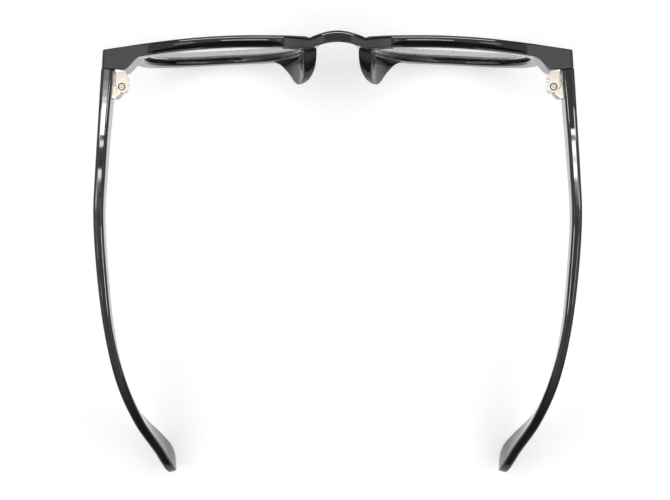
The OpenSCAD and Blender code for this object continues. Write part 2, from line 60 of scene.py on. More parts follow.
# Front: boxed lens size, distance between the lenses, and the sizes of rims and endpieces
LENS_W = 50.0
LENS_H = 39.5
BRIDGE_W = 22.0
ENDPIECE_OUT = 8.2
FRONT_T = 3.9
RIM_BOTTOM = 3.6
RIM_TOP = 4.0
RIM_SIDE = 4.6
RIM_NOSE = 4.8
ENDPIECE_DROP = 4.5
ENDPIECE_H = 13.5
ENDPIECE_T = 6.6
ENDPIECE_W = 7.1
ENDPIECE_RUN = 5.0
END_DRAFT = 0.35
MITRE_SLANT = 0.15
# Bridge: its height, the arch of its face, the hollow of its rear, and the crease beside it
BRIDGE_DROP = 7.0
BRIDGE_H = 7.0
ARCH_HALF = 8.2
ARCH_RISE = 2.1
HOLLOW_HALF = 9.0
HOLLOW_RISE = 2.2
ARCH_POWER = 1.15
CREASE_X = 8.75
CREASE_HALF = 0.9
CREASE_DEPTH = 0.3
# Bend of the front seen from above, its dish seen from the side, and its lean
WRAP_R = 245.0
FORE_X = 24.5
WRAP_RUN = 32.0
DISH_R = 500.0
LEAN = math.tan(math.radians(2.0))
# Radii of its edges, and the directions, in degrees, round which an endpiece's are small
ROUND_FRONT = 1.3
ROUND_REAR = 0.4
ROUND_END = 0.3
END_DIRECTION = 10.0
END_SPREAD_FRONT = 23.0
END_FADE_FRONT = 22.0
END_SPREAD_REAR = 14.0
END_FADE_REAR = 10.0
ROUND_LENS = 0.7
# How square a lens opening's corners are, and how much it narrows going down
SQUARE_TOP = 3.1
SQUARE_BOTTOM = 2.4
TAPER_TEMPLE = 0.06
TAPER_NOSE = 0.14
# How much is ground off below, so that the rims stand level
FLAT_DEPTH = 0.15
# Polished crown of the rims' walls, and lean of the bridge's top and of its back
CROWN = 0.045
BRIDGE_FALL = math.tan(math.radians(4.0))
BRIDGE_BACK = math.tan(math.radians(7.0))
# Distance from the middle at which the back's lean has ended, and over which it fades
BACK_END = 0.9 * ARCH_HALF
BACK_FADE = 2.0
# Radius of the rear edge beside a nose pad, and the directions round which it is so small
CRISP = 0.15
PAD_DIRECTION = -166.0
PAD_SPREAD = 24.0
PAD_FADE = 8.0

# Lens
LENS_T = 1.25
BEVEL_H = 0.7
LENS_SET = 1.35
GROOVE_GAP = 0.12

# Nose pads
PAD_REACH = 8.6
PAD_T = 4.2
PAD_TOP = 29.3
PAD_LEN = 24.5
PAD_STRAIGHT = 3.8
PAD_CHAMFER = 0.45
PAD_FULLNESS = 0.75
PAD_POWER = 10.0
GLUE_GAP = 0.1

# Temples
TEMPLE_RUN = 126.0
TEMPLE_H = 12.8
TEMPLE_WAIST = 8.2
TIP_H = 12.4
TEMPLE_T = 3.8
TIP_T = 3.1
TEMPLE_BOW = 3.15
TIP_INSET = 17.6
TEMPLE_PROUD = 0.05
STOP_GAP = 0.05
EDGE_R = 0.95
END_SOFT = 0.08
TIP_SPAN = 0.7
# Shares of its thickness and of its edges' radius that a tip keeps at its very end
TIP_THIN = 0.2
TIP_EDGE = 0.3

# Hinges: place, barrel, and the leaves' outlines measured from the screw
HINGE_INSET = 6.2
HINGE_Y = 4.75
HINGE_SINK = 0.45
KNUCKLE_R = 1.75
KNUCKLE_GAP = 0.05
BARREL_H = 9.0
TURN_GAP = 0.15
LEAF_OUT = 2.0
LEAF_IN = 1.75
LEAF_IN_FRONT = 1.0
LEAF_SUNK = 0.6
LINK_GAP = 0.35
LEAF_H = 8.4
LEAF_FRONT = 0.1
LEAF_REAR = 3.5
WEDGE_START = (-0.3, 1.45)
WEDGE_END = (1.6, LEAF_REAR)
WEDGE_ROUND = 0.45
WEDGE_SUNK = 0.9
# Where the wedge's long side meets the room round the front's knuckles
WEDGE_CROSSING = (0.114, 1.897)
# How far a part that is fused to its neighbour stays inside it
FUSED = 0.02
# Radii of the polished edges: of a knuckle, the top plate, a link, a wedge, a screw's head
KNUCKLE_EDGE = 0.1
TOP_EDGE = 0.12
LINK_EDGE = 0.08
WEDGE_EDGE = 0.05
HEAD_EDGE = 0.09
# Screw, and the flat ring that keeps its ends and the knuckles' ends level
SCREW_R = 0.7
HEAD_R = 1.0
HEAD_H = 0.75
HEAD_GAP = 0.13
SLOT_W = 0.34
SLOT_D = 0.4
SCREW_LOW = 0.04
FLAT_RING = 0.05

# Resolution: samples between control points, and steps of a rounded edge
FINE = 10
EDGE_STEPS = 7
SPANS = 14
PIN_STEPS = 48
# Shares of the way across the rear face, dense where the endpiece thickens
REAR_SHARES = [0.15, 0.3, 0.42, 0.5] + [0.56 + 0.04 * i for i in range(11)]
MIDDLE_COUNT = 12
# Shares of the way along a rim's wall, from its front edge to its rear edge
WALL_SHARES = [0.2, 0.4, 0.6, 0.8, 0.96]
# Shares of the way from a lens's middle to its edge
LENS_SHARES = [0.02] + [0.06 * i for i in range(1, 17)] + [1.0]
# Step along a temple, and the angles of the sections round its tip
TEMPLE_STEP = 0.1
TIP_ANGLES = (5, 12, 20, 28, 36, 44, 52, 60, 67, 73, 78, 82)
# Share of a corner's radius at which a box's wall has its support point
CORNER_FLAT = 0.15

HALF_W = LENS_W / 2 - BEVEL_H
HALF_H = LENS_H / 2 - BEVEL_H
LENS_X = BRIDGE_W / 2 + LENS_W / 2
LENS_Z = RIM_BOTTOM + HALF_H
SIDE_X = LENS_X + HALF_W + RIM_SIDE
BROW_Z = LENS_Z + HALF_H + RIM_TOP
BRIDGE_TOP = BROW_Z - BRIDGE_DROP
BRIDGE_LOW = BRIDGE_TOP - BRIDGE_H
END_TOP = BROW_Z - ENDPIECE_DROP
END_LOW = END_TOP - ENDPIECE_H
END_MID = (END_TOP + END_LOW) / 2
FRONT_HALF = SIDE_X + ENDPIECE_OUT
BLOCK_TO = FRONT_HALF - ENDPIECE_W
BLOCK_FROM = BLOCK_TO - ENDPIECE_RUN
BLOCK_LOW = END_LOW - 0.3 * ENDPIECE_H
BLOCK_FULL = END_LOW + 0.04 * ENDPIECE_H
GROOVE_HALF = LENS_T / 2 + GROOVE_GAP


# Small helpers

def clamp01(v):
    return min(max(v, 0.0), 1.0)


def smooth(v):
    return v * v * (3 - 2 * v)


def mix(a, b, t):
    return a + (b - a) * t


def unit(v):
    return v / np.linalg.norm(v)


def cosd(a):
    return math.cos(math.radians(a))


def sind(a):
    return math.sin(math.radians(a))


def curve_at(a, b, c, d, t):
    return 0.5 * (2 * b + (c - a) * t + (2 * a - 5 * b + 4 * c - d) * t * t
                  + (3 * b - 3 * c + d - a) * t ** 3)


def curve(points, steps):
    """Catmull-Rom curve from the second point to the last but one."""
    p = np.array(points, float)
    drawn = [curve_at(*p[i - 1:i + 3], k / steps)
             for i in range(1, len(p) - 2) for k in range(steps)]
    return np.array(drawn + [p[-2]])


def quarter(r, steps):
    """Inset and depth of the points of an edge of radius r."""
    return [(r * (1 - sind(90 * i / steps)), r * (1 - cosd(90 * i / steps)))
            for i in range(steps + 1)]


# Outline of the front

def opening(a):
    """Edge of the lens opening in the direction a, seen from the lens's middle."""
    power = SQUARE_TOP if sind(a) > 0 else SQUARE_BOTTOM
    r = ((abs(cosd(a)) / HALF_W) ** power + (abs(sind(a)) / HALF_H) ** power) ** (-1 / power)
    z = r * sind(a)
    taper = TAPER_TEMPLE if cosd(a) > 0 else TAPER_NOSE
    return np.array([LENS_X + r * cosd(a) * (1 + taper * z / HALF_H), LENS_Z + z])


def rim_point(a, w):
    t = opening(a + 0.5) - opening(a - 0.5)
    return opening(a) + unit(np.array([t[1], -t[0]])) * w


def rim_width(a):
    if a > -90:
        return mix(RIM_BOTTOM + FLAT_DEPTH, RIM_SIDE, smooth(clamp01((a + 90) / 80)))
    return mix(RIM_BOTTOM + FLAT_DEPTH, RIM_NOSE, smooth(clamp01((-90 - a) / 75)))


def toward(x, z):
    return [x, z, math.degrees(math.atan2(z - LENS_Z, x - LENS_X))]


def beside(a):
    return [*rim_point(a, rim_width(a)), a]


OUTLINE = curve(
    [[-0.2 * BRIDGE_W, BRIDGE_TOP + 0.05 * BRIDGE_DROP, 163],
     [0, BRIDGE_TOP, 158],
     [0.2 * BRIDGE_W, BRIDGE_TOP + 0.05 * BRIDGE_DROP, 153],
     toward(0.4 * BRIDGE_W, BRIDGE_TOP + 0.34 * BRIDGE_DROP),
     toward(LENS_X - 0.88 * HALF_W, BROW_Z - 0.23 * BRIDGE_DROP),
     toward(LENS_X - 0.6 * HALF_W, BROW_Z - 0.05 * BRIDGE_DROP),
     toward(LENS_X - 0.16 * HALF_W, BROW_Z),
     toward(LENS_X + 0.35 * HALF_W, BROW_Z - 0.09 * ENDPIECE_DROP),
     toward(LENS_X + 0.85 * HALF_W, BROW_Z - 0.38 * ENDPIECE_DROP),
     toward(FRONT_HALF - 0.73 * ENDPIECE_OUT, END_TOP + 0.22 * ENDPIECE_DROP),
     toward(FRONT_HALF - 0.15 * ENDPIECE_OUT, END_TOP + 0.02 * ENDPIECE_DROP),
     toward(FRONT_HALF - 0.015 * ENDPIECE_OUT, END_TOP - 0.08 * ENDPIECE_H),
     toward(FRONT_HALF, END_TOP - 0.3 * ENDPIECE_H),
     toward(FRONT_HALF, END_LOW + 0.25 * ENDPIECE_H),
     toward(FRONT_HALF - 0.06 * ENDPIECE_OUT, END_LOW + 0.075 * ENDPIECE_H),
     toward(FRONT_HALF - 0.34 * ENDPIECE_OUT, END_LOW - 0.075 * ENDPIECE_H),
     toward(SIDE_X + 0.27 * ENDPIECE_OUT, END_LOW - 0.3 * ENDPIECE_H)]
    + [beside(a) for a in (-9, -22, -36, -52, -70, -86, -95, -110, -125, -140, -155, -168, -180)]
    + [[LENS_X - HALF_W - RIM_NOSE - 0.03 * BRIDGE_W, BRIDGE_LOW - 0.51 * BRIDGE_H, -189],
       [0.22 * BRIDGE_W, BRIDGE_LOW - 0.21 * BRIDGE_H, -193],
       [0.11 * BRIDGE_W, BRIDGE_LOW - 0.04 * BRIDGE_H, -195],
       [0, BRIDGE_LOW, -197],
       [-0.11 * BRIDGE_W, BRIDGE_LOW - 0.04 * BRIDGE_H, -199]], FINE)
OUTLINE_COUNT = len(OUTLINE)
RING_COUNT = OUTLINE_COUNT + MIDDLE_COUNT


def outline_normal(j):
    if j == 0:
        return np.array([0.0, 1.0])
    if j == OUTLINE_COUNT - 1:
        return np.array([0.0, -1.0])
    t = OUTLINE[j + 1][:2] - OUTLINE[j - 1][:2]
    return unit(np.array([-t[1], t[0]]))


def middle_share(j):
    return (j - OUTLINE_COUNT + 1) / (MIDDLE_COUNT + 1)


def outer(j, d):
    """Ring point j of the outline, drawn in by the distance d."""
    if j < OUTLINE_COUNT:
        return OUTLINE[j][:2] - outline_normal(j) * d
    return np.array([0.0, mix(BRIDGE_LOW + d, BRIDGE_TOP - d, middle_share(j))])


def ring_angle(j):
    if j < OUTLINE_COUNT:
        return OUTLINE[j][2]
    return mix(OUTLINE[-1][2], OUTLINE[0][2] - 360, middle_share(j))


def inner(j, w):
    return rim_point(ring_angle(j), w)


# Depth of the front

def wrap(x):
    """The front is flat at the nose, bends round each lens and runs straight at the endpiece."""
    d = max(0.0, x - FORE_X)
    bent = min(d, WRAP_RUN)
    return (bent ** 2 + 2 * WRAP_RUN * (d - bent)) / (2 * WRAP_R)


def plane_y(x, z):
    return wrap(x) + (z - LENS_Z) ** 2 / (2 * DISH_R) + (LENS_Z - z) * LEAN


def arch(x, half):
    return max(0.0, 1 - (x / half) ** 2) ** ARCH_POWER


def crease(x):
    return max(0.0, 1 - ((x - CREASE_X) / CREASE_HALF) ** 2)


def face_y(x, z):
    return plane_y(x, z) - ARCH_RISE * arch(x, ARCH_HALF) + CREASE_DEPTH * crease(x)


MITRE_Y = wrap(FRONT_HALF) + ENDPIECE_T + (LENS_Z - END_MID) * LEAN
SLANT_FROM = FRONT_HALF - TEMPLE_T


def mitre_at(x, z):
    """Face between endpiece and temple, turned a little over the temple's thickness."""
    return MITRE_Y + (END_MID - z) * LEAN - MITRE_SLANT * max(0.0, x - SLANT_FROM)


def block_share(x):
    return clamp01((x - BLOCK_FROM) / (BLOCK_TO - BLOCK_FROM))


def block(x, z):
    return smooth(block_share(x)) * smooth(clamp01((z - BLOCK_LOW) / (BLOCK_FULL - BLOCK_LOW)))


def back_lean(x, z):
    """How far the bridge's back lies forward of upright, more towards its lower edge."""
    below = min(max(BRIDGE_TOP - z, 0.0), BRIDGE_H)
    return below * BRIDGE_BACK * smooth(clamp01((BACK_END - x) / BACK_FADE))


def rear_y(x, z):
    return mix(plane_y(x, z) + FRONT_T - HOLLOW_RISE * arch(x, HOLLOW_HALF) - back_lean(x, z),
               mitre_at(x, z), block(x, z))


def bridge_fall(p, y):
    """How much the top of the bridge lies lower towards its front edge."""
    share = clamp01((p[1] - BRIDGE_LOW) / BRIDGE_H) * arch(p[0], HOLLOW_HALF)
    return share * BRIDGE_FALL * max(0.0, rear_y(p[0], p[1]) - y)


def placed(p, y):
    """Point of the front, spread where the endpiece's outer wall leans, and cut level below."""
    x = p[0] + END_DRAFT * block_share(p[0]) * (y - MITRE_Y) / ENDPIECE_T
    return [x, y, max(p[1], 0.0) - bridge_fall(p, y)]


def at_face(p, d):
    return placed(p, face_y(p[0], p[1]) + d)


def at_rear(p, d):
    return placed(p, rear_y(p[0], p[1]) - d)


def away(a, direction, spread, fade):
    return smooth(clamp01((abs(a - direction) - spread) / fade))


def front_round(a):
    return mix(ROUND_END, ROUND_FRONT, away(a, END_DIRECTION, END_SPREAD_FRONT, END_FADE_FRONT))


def rear_round(a):
    """The rear edge stays crisp where a nose pad or a temple meets it."""
    open_r = mix(ROUND_END, ROUND_REAR, away(a, END_DIRECTION, END_SPREAD_REAR, END_FADE_REAR))
    return mix(CRISP, open_r, away(a, PAD_DIRECTION, PAD_SPREAD, PAD_FADE))


def rim_section(j):
    """One section of the rim, once round from the face's outer edge."""
    r = rear_round(ring_angle(j))
    f = front_round(ring_angle(j))
    section = [at_face(outer(j, q[0] + CROWN), q[1]) for q in quarter(f, EDGE_STEPS)]
    front_end, rear_end = section[-1], at_rear(outer(j, 0), r)
    for t in WALL_SHARES:
        p = outer(j, CROWN * (1 - t) ** 2)
        section.append(placed(p, mix(front_end[1], rear_end[1], t)))
    section += [at_rear(outer(j, q[0]), q[1]) for q in reversed(quarter(r, EDGE_STEPS))]
    wall = len(section)
    section += [at_rear(mix(outer(j, r), inner(j, ROUND_LENS), t), 0) for t in REAR_SHARES]
    section += [at_rear(inner(j, q[0]), q[1]) for q in quarter(ROUND_LENS, EDGE_STEPS)]
    section += [at_face(inner(j, 0), LENS_SET + GROOVE_HALF),
                at_face(inner(j, BEVEL_H + GROOVE_GAP), LENS_SET),
                at_face(inner(j, 0), LENS_SET - GROOVE_HALF)]
    section += [at_face(inner(j, ROUND_LENS), 0)]
    section += [at_face(mix(inner(j, ROUND_LENS), outer(j, f), i / SPANS), 0)
                for i in range(1, SPANS)]
    return section, wall


# Meshes

FRONT_SECTIONS = [rim_section(j) for j in range(RING_COUNT)]
ORIGIN_Y = 1000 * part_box("front_frame")[0].y - min(p[1] for s, _ in FRONT_SECTIONS for p in s)


def make(name, points, faces, material, body, node, slot, sharp):
    """A closed mesh from points in millimetres, riding on a body in place of a CAD node.

    Edges that bend by more than the angle sharp, in degrees, stay sharp.
    """
    mesh = bpy.data.meshes.new(name)
    moved = [(p[0] / 1000, (p[1] + ORIGIN_Y) / 1000, p[2] / 1000) for p in points]
    mesh.from_pydata(moved, [], faces)
    bm = bmesh.new()
    bm.from_mesh(mesh)
    bmesh.ops.remove_doubles(bm, verts=bm.verts, dist=1e-7)
    bmesh.ops.recalc_face_normals(bm, faces=bm.faces)
    bm.to_mesh(mesh)
    bm.free()
    mesh.shade_smooth()
    mesh.set_sharp_from_angle(angle=math.radians(sharp))
    piece = bpy.data.objects.new(name, mesh)
    bpy.context.scene.collection.objects.link(piece)
    mesh.materials.append(material)
    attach(piece, body)
    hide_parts(node)


def flip(points):
    return [[-p[0], p[1], p[2]] for p in points]


def sides(count, n):
    """Faces between the neighbours of count sections of n points each."""
    return [[j * n + k, (j + 1) * n + k, (j + 1) * n + (k + 1) % n, j * n + (k + 1) % n]
            for j in range(count - 1) for k in range(n)]


def loft(sections):
    """Points and faces of a closed loft, its ends fanned from their middles."""
    n, count = len(sections[0]), len(sections)
    points = [p for s in sections for p in s]
    points += [list(np.mean(sections[0], axis=0)), list(np.mean(sections[-1], axis=0))]
    last = (count - 1) * n
    faces = sides(count, n) + [[count * n, (k + 1) % n, k] for k in range(n)]
    faces += [[count * n + 1, last + k, last + (k + 1) % n] for k in range(n)]
    return points, faces


def capped(sections):
    """A loft whose two ends are one flat face each."""
    n, count = len(sections[0]), len(sections)
    faces = sides(count, n) + [list(range(n))[::-1], list(range((count - 1) * n, count * n))]
    return [p for s in sections for p in s], faces


def ribbon(sections):
    """A loft through long, bent sections, whose points k and n - k lie opposite each other."""
    n, count = len(sections[0]), len(sections)
    faces = sides(count, n)
    for first in (0, (count - 1) * n):
        faces += [[first + k, first + k + 1, first + n - k - 1, first + n - k]
                  for k in range(1, n // 2 - 1)]
        faces += [[first, first + 1, first + n - 1],
                  [first + n // 2 - 1, first + n // 2, first + n // 2 + 1]]
    return [p for s in sections for p in s], faces


def closed_ring(sections):
    """A loft that closes on itself, from its last section to its first."""
    n, count = len(sections[0]), len(sections)
    faces = [[j * n + k, (j + 1) % count * n + k,
              (j + 1) % count * n + (k + 1) % n, j * n + (k + 1) % n]
             for j in range(count) for k in range(n)]
    return [p for s in sections for p in s], faces


def front_mesh():
    """The whole front as two mirrored half rings that meet on the middle line."""
    n = len(FRONT_SECTIONS[0][0])
    wall = FRONT_SECTIONS[0][1] - 1
    points = [p for s, _ in FRONT_SECTIONS for p in s]
    faces = [[j * n + k, (j + 1) % RING_COUNT * n + k,
              (j + 1) % RING_COUNT * n + (k + 1) % n, j * n + (k + 1) % n]
             for j in range(RING_COUNT) for k in range(n)
             if k >= wall or j < OUTLINE_COUNT - 1]
    shift = len(points)
    points = points + flip(points)
    faces = faces + [[i + shift for i in reversed(f)] for f in faces]
    return points, faces


# Lenses and pads

def lens_ring(share, w, d):
    middle = np.array([LENS_X, LENS_Z])
    return [at_face(mix(middle, inner(j, w), share), LENS_SET + d) for j in range(RING_COUNT)]


def lens_sections():
    rear = [lens_ring(s, 0, LENS_T / 2) for s in LENS_SHARES]
    front = [lens_ring(s, 0, -LENS_T / 2) for s in reversed(LENS_SHARES)]
    return rear + [lens_ring(1, BEVEL_H, 0)] + front


# Share of a pad's length from its top, and share of its reach
PAD_POINTS = [(-0.03, -0.2), (0, 0), (0.05, 0.32), (0.14, 0.62), (0.26, 0.87), (0.42, 1),
              (0.58, 0.99), (0.68, 0.84), (0.76, 0.61), (0.85, 0.34), (0.93, 0.11), (1, 0),
              (1.06, -0.05)]


def pad_out(share, limit):
    """The lesser of both shares of the reach, with the corner between them rounded."""
    if share <= 0:
        return share
    return (share ** -PAD_POWER + limit ** -PAD_POWER - 1) ** (-1 / PAD_POWER)


def pad_sections():
    """Layers across a pad, from the side of the nose to the side of the lens."""
    drawn = [tuple(p) for p in curve(PAD_POINTS, FINE)]
    profile = drawn + [(p[0], 0.0) for p in drawn[-2:0:-1]]
    layers = [((PAD_T - PAD_CHAMFER) * (1 - cosd(a)), sind(a) ** PAD_FULLNESS, 0.0)
              for a in range(10, 91, 5)]
    layers += [(PAD_T - PAD_CHAMFER * (1 - sind(a)), 1.0, PAD_CHAMFER * (1 - cosd(a)))
               for a in (22, 45, 67, 90)]
    edge = [(p[1], p[0]) for p in OUTLINE[::-1] if p[2] < -115 and p[0] > 0.18 * BRIDGE_W]
    heights, distances = zip(*sorted(edge))
    sections = []
    for across, share, inset in layers:
        section = []
        for q in profile:
            t = inset / PAD_REACH
            along, out = mix(q[0], 0.5, t), mix(pad_out(q[1], share), 0, t)
            z = PAD_TOP - PAD_LEN * along
            x = float(np.interp(min(z, PAD_TOP - PAD_STRAIGHT), heights, distances)) + across
            section.append([x, rear_y(x, z) + GLUE_GAP + PAD_REACH * out, z])
        sections.append(section)
    return sections


# Temples

def fore_h(share):
    return mix(TEMPLE_H, TEMPLE_WAIST, share)


def rear_h(share):
    return mix(TEMPLE_WAIST, TIP_H, share)


# Share of the run, of the bow, of the tip's inset, of the drop, of the way to the tip's
# thickness, the height, and how far the section is turned about its upper edge
STATIONS = np.array([
    [-0.12, -0.39, 0, -0.017, 0, fore_h(0), 0],
    [0, 0, 0, 0, 0, fore_h(0), 0],
    [0.12, 0.39, 0, 0.017, 0.55, fore_h(0.17), 0],
    [0.25, 0.78, 0, 0.041, 0.72, fore_h(0.565), 0],
    [0.36, 1, 0, 0.058, 0.83, fore_h(0.825), 0],
    [0.5, 0.7, 0, 0.084, 0.94, fore_h(0.98), 0],
    [0.64, 0, -0.013, 0.116, 1.5, fore_h(1), 0],
    [0.76, 0, 0.191, 0.203, 0.93, rear_h(0.26), -5],
    [0.86, 0, 0.454, 0.453, 1.1, rear_h(0.7), -5],
    [0.94, 0, 0.765, 0.723, 1.15, rear_h(1), 3.5],
    [1, 0, 0.975, 0.929, 1, rear_h(0.95), 10.5],
    [1.05, 0, 1.12, 1.097, 1, rear_h(0.9), 6.5]])
TEMPLE_LAST = len(STATIONS) - 3
TEMPLE_X = FRONT_HALF + TEMPLE_PROUD - TEMPLE_T / 2
TEMPLE_Y = MITRE_Y + STOP_GAP


def station(u):
    i = max(0, min(math.floor(u), TEMPLE_LAST - 1))
    return curve_at(*STATIONS[i:i + 4], u - i)


def temple_point(u):
    s = station(u)
    return np.array([TEMPLE_X + s[1] * TEMPLE_BOW - s[2] * TIP_INSET,
                     TEMPLE_Y + s[0] * TEMPLE_RUN, END_MID * (1 - s[3])])


def box_section(w, h, r, steps=8):
    """Box with round corners, and a point beside each corner that keeps its walls flat."""
    flat = CORNER_FLAT * r
    points = []
    for sx, sz, a in [(1, 1, 0), (-1, 1, 90), (-1, -1, 180), (1, -1, 270)]:
        middle = np.array([sx * (w / 2 - r), sz * (h / 2 - r)])
        first, last = np.array([cosd(a), sind(a)]), np.array([cosd(a + 90), sind(a + 90)])
        points.append(tuple(middle + first * r - last * flat))
        turns = [a + 90 * i / steps for i in range(steps + 1)]
        points += [tuple(middle + r * np.array([cosd(b), sind(b)])) for b in turns]
        points.append(tuple(middle + last * r - first * flat))
    return points


def turned(q, a):
    return q[0] * cosd(a) + q[1] * sind(a), q[1] * cosd(a) - q[0] * sind(a)


def path_section(u, w, h, r):
    s, p = station(u), temple_point(u)
    t = unit(temple_point(u + 0.02) - temple_point(u - 0.02))
    side = unit(np.array([t[1], -t[0], 0]))
    up = np.cross(side, t)
    points = [turned((q[0], q[1] - s[5] / 2), s[6]) for q in box_section(w, h, r)]
    return [p + side * q[0] + up * (q[1] + s[5] / 2) for q in points]


def thickness(s):
    return mix(TEMPLE_T, TIP_T, s[4])


def straight_sections(end):
    """Sections of a temple from its front to where its tip begins to round off."""
    stations = [(u, station(u)) for u in np.arange(0, end, TEMPLE_STEP)]
    return [path_section(u, thickness(s), s[5], EDGE_R) for u, s in stations]


def tip_sections(start):
    """Sections that shrink in a quarter turn to the end of the tip."""
    drawn = []
    for a in TIP_ANGLES:
        u, c = start + TIP_SPAN * sind(a), cosd(a)
        s = station(u)
        drawn.append(path_section(u, thickness(s) * mix(TIP_THIN, 1, c), s[5] * c,
                                  EDGE_R * mix(TIP_EDGE, 1, c) * c))
    return drawn


def cut_to_mitre(section):
    """The first section, moved along the temple on to the endpiece's rear, with a soft edge."""
    t = unit(temple_point(0.02) - temple_point(0))
    fall = t[1] + t[2] * LEAN + t[0] * MITRE_SLANT
    first = [np.array(p) - t * (p[1] - mitre_at(p[0], p[2]) - STOP_GAP) / fall for p in section]
    middle = np.mean(first, axis=0)
    softened = [list(mix(p, middle, END_SOFT / 4)) for p in first]
    return [softened, [list(p + t * END_SOFT) for p in first]]


def temple_sections():
    """A whole temple, whose height is set so that its tip just touches the ground."""
    tip_from = TEMPLE_LAST - TIP_SPAN
    drawn = straight_sections(tip_from) + tip_sections(tip_from)
    low = min(p[2] for section in drawn for p in section)
    scale = END_MID / (END_MID - low)
    drawn = [[[p[0], p[1], END_MID + (p[2] - END_MID) * scale] for p in s] for s in drawn]
    return cut_to_mitre(drawn[0]) + drawn[1:]


# Hinges

HINGE_Z = END_MID - HINGE_SINK
HINGE_X = FRONT_HALF - HINGE_INSET
HINGE_AT = np.array([HINGE_X, mitre_at(HINGE_X, HINGE_Z) + HINGE_Y, HINGE_Z])
KNUCKLE_H = (BARREL_H - 4 * KNUCKLE_GAP) / 5
LEAF_NEAR = -KNUCKLE_R - TURN_GAP


def knuckle_low(i):
    return -BARREL_H / 2 + i * (KNUCKLE_H + KNUCKLE_GAP)


def circle(r, z, angles):
    return [[r * cosd(a), r * sind(a), z] for a in angles]


def rounded(low, high, e, steps):
    """Insets and heights up a piece with edges of radius e, and a ring that keeps its ends flat."""
    edge = [(e + FLAT_RING, 0.0)] + quarter(e, steps)
    return [(q[0], low + q[1]) for q in edge] + [(q[0], high - q[1]) for q in reversed(edge)]


def round_pin(r, low, high, e):
    """A pin with its two edges rounded by e."""
    angles = [360 * k / PIN_STEPS for k in range(PIN_STEPS)]
    return capped([circle(r - d, z, angles) for d, z in rounded(low, high, e, 4)])


def drawn_in(outline, d):
    """Each corner of an anticlockwise outline moved inwards, so that the sides move by d."""
    p = np.array(outline, float)
    along = [unit(b - a) for a, b in zip(p, np.roll(p, -1, axis=0))]
    normals = [np.array([-t[1], t[0]]) for t in along]
    moved = []
    for i, point in enumerate(p):
        before, after = normals[i - 1], normals[i]
        moved.append(point + (before + after) / (1 + before @ after) * d)
    return moved


def prism(outline, low, high, e):
    """Upright prism whose top and bottom edges are rounded by e."""
    return capped([[[x, y, z] for x, y in drawn_in(outline, d)]
                   for d, z in rounded(low, high, e, 3)])


def joined(parts):
    """Several sets of points and faces as one, placed at the hinge."""
    points, faces = [], []
    for p, f in parts:
        faces += [[i + len(points) for i in face] for face in f]
        points += [list(np.array(q) + HINGE_AT) for q in p]
    return points, faces


def arc(r, start, end, steps):
    return [(r * cosd(mix(start, end, i / steps)), r * sind(mix(start, end, i / steps)))
            for i in range(steps + 1)]


def top_plate(low, high, e):
    """Top knuckle and leaf in one plate, with the counterbore for the screw's head."""
    deep = -HINGE_Y - LEAF_SUNK
    side = [(LEAF_OUT, mix(deep, -LINK_GAP, i / 6)) for i in range(7)]
    front = [(mix(-LEAF_IN_FRONT, LEAF_OUT, i / 4), deep) for i in range(4)]
    back = [(mix(-LEAF_IN, -LEAF_IN_FRONT, i / 4), mix(LEAF_NEAR, deep, i / 4)) for i in range(4)]
    outline = front + side + arc(KNUCKLE_R, -7, 180, 36) + back
    angles = [math.degrees(math.atan2(y, x)) for x, y in outline]
    seat, bore, bevel = high - HEAD_H, HEAD_R + HEAD_GAP, 0.05
    rings = [[[x, y, z] for x, y in drawn_in(outline, d)] for d, z in rounded(low, high, e, 4)]
    rings += [circle(r, z, angles) for r, z in [
        (bore + bevel + FLAT_RING, high), (bore + bevel, high), (bore, high - bevel),
        (bore, seat), (SCREW_R, seat), (SCREW_R, low)]]
    return closed_ring(rings)


def front_hinge():
    """The front's leaf, the plate with the top knuckle, and two knuckles with their links."""
    top, overlap = BARREL_H / 2, 0.4
    near, wide, deep = -LEAF_IN + FUSED, LEAF_OUT - FUSED, -HINGE_Y - LEAF_SUNK
    leaf = [(-LEAF_IN_FRONT + FUSED, deep), (wide, deep), (wide, LEAF_NEAR), (near, LEAF_NEAR)]
    link = [(near, LEAF_NEAR - 1), (wide, LEAF_NEAR - 1), (wide, -LINK_GAP), (0, 0), (near, 0)]
    parts = [prism(leaf, -top, knuckle_low(4) + overlap, KNUCKLE_EDGE),
             top_plate(knuckle_low(4), top, TOP_EDGE)]
    for i in (0, 2):
        low = knuckle_low(i)
        parts.append(round_pin(KNUCKLE_R, low, low + KNUCKLE_H, KNUCKLE_EDGE))
        parts.append(prism(link, low, low + KNUCKLE_H, LINK_EDGE))
    return joined(parts)


def wedge_outline():
    """Outer sides of the temple's leaf seen from above, with the corner of its wedge rounded."""
    deep = HINGE_INSET + TEMPLE_PROUD - TEMPLE_T + WEDGE_SUNK
    x, y = WEDGE_END
    slope = unit(np.array(WEDGE_END) - np.array(WEDGE_START))
    return [(deep, LEAF_FRONT), (deep, LEAF_REAR), (x + WEDGE_ROUND, y), (x + 0.1, y - 0.01),
            (x - 0.04, y - 0.1), tuple(np.array(WEDGE_END) - slope * WEDGE_ROUND)]


def temple_hinge():
    """The temple's leaf, cut round the front's knuckles, and two knuckles held by its wedge."""
    room = KNUCKLE_R + TURN_GAP
    outside = wedge_outline()
    held = [(WEDGE_START[0], LEAF_FRONT)] + outside + [WEDGE_START]
    crossing = math.degrees(math.atan2(WEDGE_CROSSING[1], WEDGE_CROSSING[0]))
    cut = outside + arc(room, crossing, math.degrees(math.asin(LEAF_FRONT / room)), 14)
    parts = [prism(cut, -LEAF_H / 2, LEAF_H / 2, KNUCKLE_EDGE)]
    for i in (1, 3):
        low = knuckle_low(i)
        parts.append(round_pin(KNUCKLE_R, low, low + KNUCKLE_H, KNUCKLE_EDGE))
        parts.append(prism(drawn_in(held, FUSED), low, low + KNUCKLE_H, WEDGE_EDGE))
    return joined(parts)


